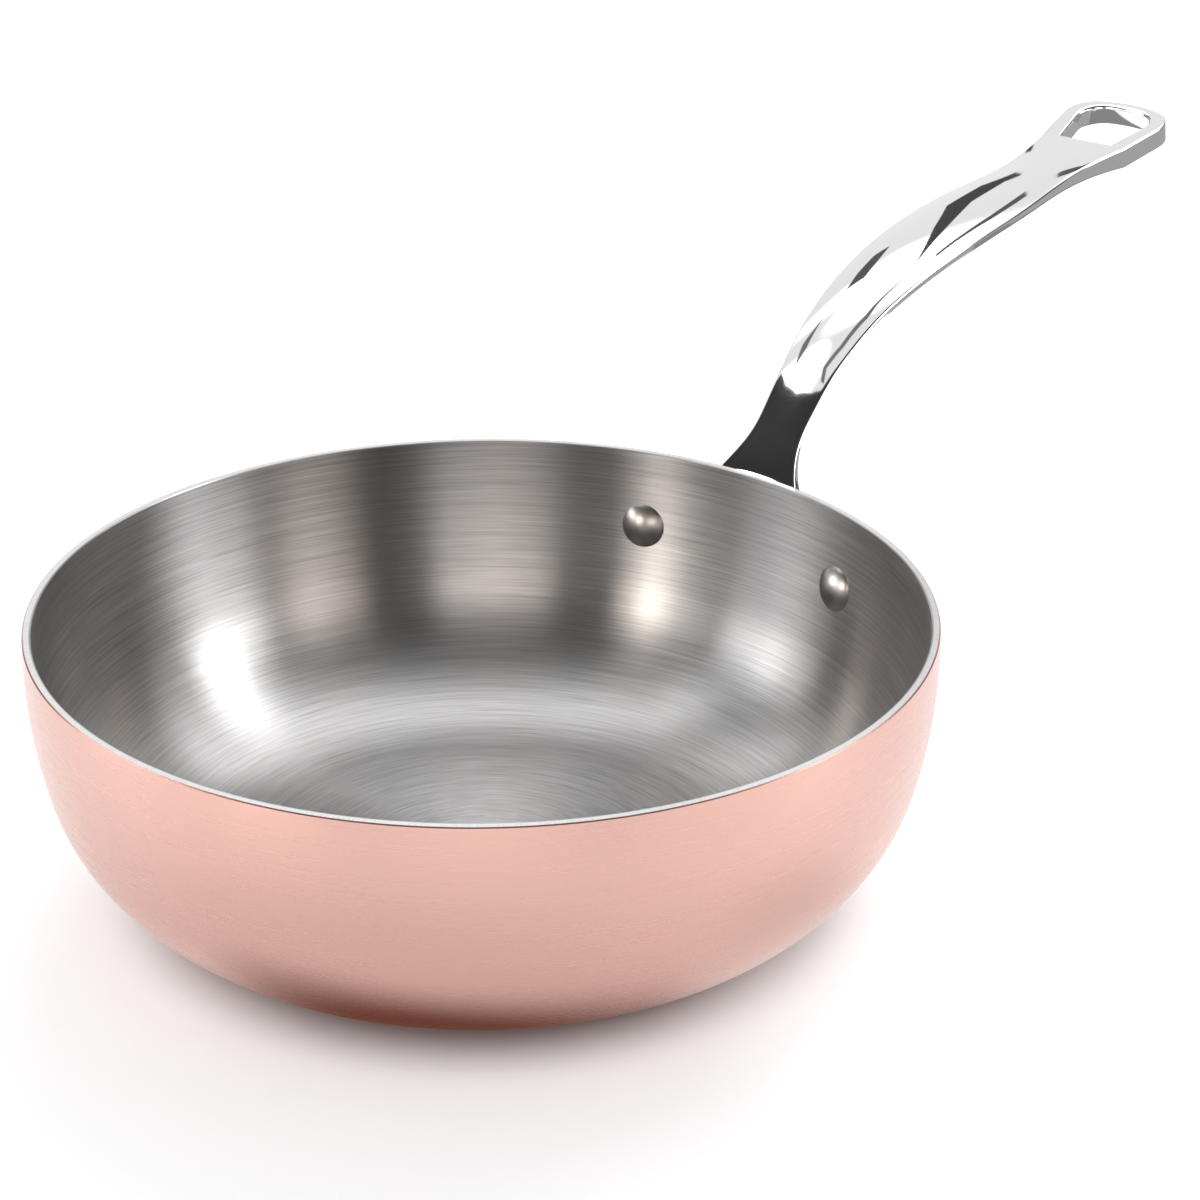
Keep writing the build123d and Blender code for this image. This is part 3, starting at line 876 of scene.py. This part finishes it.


# Painted light: the floor glows where it is seen, in view or in the metal, from nothing near the pan up to
# white farther out, so its rendered shadow stays whole only close to the pan
def makeFloor(v):
    material, tree = startMaterial("pale studio floor")
    paint = addNode(tree, "ShaderNodeBsdfPrincipled", {
        "Base Color": linear(v["floor"]), "Roughness": v["floorRoughness"],
    })
    place = addNode(tree, "ShaderNodeTexCoord").outputs["Object"]
    away = addNode(tree, "ShaderNodeVectorMath", [place], operation="LENGTH").outputs["Value"]
    # painted light: the glow is nothing near the pan and rises smoothly to its full strength farther out
    paintedGlow = addNode(tree, "ShaderNodeMapRange", {
        "Value": away, "From Min": v["paintedGlowFrom"], "From Max": v["paintedGlowTo"],
        "To Min": 0.0, "To Max": v["paintedGlow"],
    }, interpolation_type="SMOOTHSTEP")
    strength = addNode(tree, "ShaderNodeMath", [seenInView(tree), paintedGlow], operation="MULTIPLY")
    glow = addNode(tree, "ShaderNodeEmission", {"Color": (1, 1, 1, 1), "Strength": strength})
    both = addNode(tree, "ShaderNodeAddShader", [paint, glow])
    addNode(tree, "ShaderNodeOutputMaterial", [both])
    addPiece("floor", rectangle("floor", v["floorReach"], v["floorReach"]), material)


# Stage that only polished metal shows: it casts no shadow and sheds no light
def hideFromView(piece):
    piece.visible_camera = False
    piece.visible_shadow = False
    piece.visible_diffuse = False


# A ring of lit and dark screens round the table, each fading into the next
def makeScreens(v):
    skin = Skin()
    turns = [2 * pi * i / v["screenCount"] for i in range(v["screenCount"])]
    rows = [
        skin.add([(v["screenRadius"] * cos(a), v["screenRadius"] * sin(a), height) for a in turns])
        for height in (v["screenFoot"], v["screenTop"])
    ]
    skin.sweep(rows, True)
    material, tree = startMaterial("studio screens")
    place = addNode(tree, "ShaderNodeTexCoord").outputs["Object"]
    axes = addNode(tree, "ShaderNodeSeparateXYZ", [place]).outputs
    around = addNode(tree, "ShaderNodeMath", [axes["Y"], axes["X"]], operation="ARCTAN2")
    angle = addNode(tree, "ShaderNodeMath", [around, radians(-v["turn"])], operation="ADD")
    share = addNode(tree, "ShaderNodeMath", [angle, 2 * pi], operation="DIVIDE")
    share = addNode(tree, "ShaderNodeMath", [share, 1], operation="ADD")
    share = addNode(tree, "ShaderNodeMath", [share], operation="FRACT")
    blend = addNode(tree, "ShaderNodeValToRGB", [share])
    blend.color_ramp.interpolation = "EASE"
    # the ramp starts with its two end stops, and the last stop is the first again
    stops = v["screens"] + ((360, *v["screens"][0][1:]),)
    for degrees, level, tint in stops[1:-1]:
        blend.color_ramp.elements.new(degrees / 360)
    for element, (degrees, level, tint) in zip(blend.color_ramp.elements, stops):
        shade = level / v["screenPower"]
        element.color = [part * shade for part in linear(tint)[:3]] + [1]
    glow = addNode(tree, "ShaderNodeEmission", {"Color": blend, "Strength": v["screenPower"]})
    addNode(tree, "ShaderNodeOutputMaterial", [glow])
    hideFromView(addPiece("studio screens", skin.mesh("studio screens"), material))


# A panel, a flag or a sheet. Where a spread is given it fades out towards an oval of that half size.
def makeReflector(name, mesh, level, tint="FFFFFF", spread=None):
    material, tree = startMaterial(name)
    shader = addNode(tree, "ShaderNodeEmission", {"Color": linear(tint), "Strength": level})
    if spread:
        place = addNode(tree, "ShaderNodeTexCoord").outputs["Object"]
        scale = (1 / spread[0], 1 / spread[1], 1)
        scaled = addNode(tree, "ShaderNodeVectorMath", [place, scale], operation="MULTIPLY")
        out = addNode(tree, "ShaderNodeVectorMath", [scaled], operation="LENGTH").outputs["Value"]
        fade = addNode(tree, "ShaderNodeMapRange", {
            "Value": out, "From Min": studioValues["fadeFrom"], "From Max": 1.0,
        }, interpolation_type="SMOOTHSTEP")
        clear = addNode(tree, "ShaderNodeBsdfTransparent")
        shader = addNode(tree, "ShaderNodeMixShader", [fade, shader, clear])
    addNode(tree, "ShaderNodeOutputMaterial", [shader])
    piece = addPiece(name, mesh, material)
    hideFromView(piece)
    return piece


def hangPanel(name, direction, elevation, width, height, level):
    reach, centre = studioValues["panelRadius"], studioValues["panelCentre"]
    halfSize = [reach * tan(radians(angle / 2)) for angle in (width, height)]
    piece = makeReflector(name, rectangle(name, *halfSize), level, spread=halfSize)
    a, e = radians(direction), radians(elevation)
    place = [c + reach * d for c, d in zip(centre, (cos(e) * cos(a), cos(e) * sin(a), sin(e)))]
    aim(piece, place, centre)


def hangFlag(name, level, left, right):
    mesh = bpy.data.meshes.new(name)
    corners = [studioPoint(*[centimetres / 100 for centimetres in place]) for place in left + right]
    count = len(left)
    mesh.from_pydata(corners, [], [(i, i + 1, count + i + 1, count + i) for i in range(count - 1)])
    makeReflector(name, mesh, level)


def laySheet(name, low, high, height, level, soft, tint):
    halfSize = [(b - a) / 2 for a, b in zip(low, high)]
    piece = makeReflector(name, rectangle(name, *halfSize), level, tint, halfSize if soft else None)
    piece.location = studioPoint(low[0] + halfSize[0], low[1] + halfSize[1], height)
    piece.rotation_euler.z = radians(studioValues["turn"])


# The lamp behind gives the floor its soft shadow, and the metal shows the reflectors instead of it
def hangLamp(v):
    light = bpy.data.lights.new("back lamp", "AREA")
    light.shape = "RECTANGLE"
    light.size, light.size_y = v["lampSize"]
    light.energy = v["lampPower"]
    piece = addPiece("back lamp", light)
    piece.visible_glossy = False
    aim(piece, v["lampPlace"], (0, 0, 0))


makeSurround(studioValues)
makeFloor(studioValues)
makeScreens(studioValues)
for make, group in ((hangPanel, "panels"), (hangFlag, "flags"), (laySheet, "sheets")):
    for entry in studioValues[group]:
        make(*entry)
hangLamp(studioValues)
bpy.context.scene.view_settings.view_transform = "Standard"
print("stage: studio")
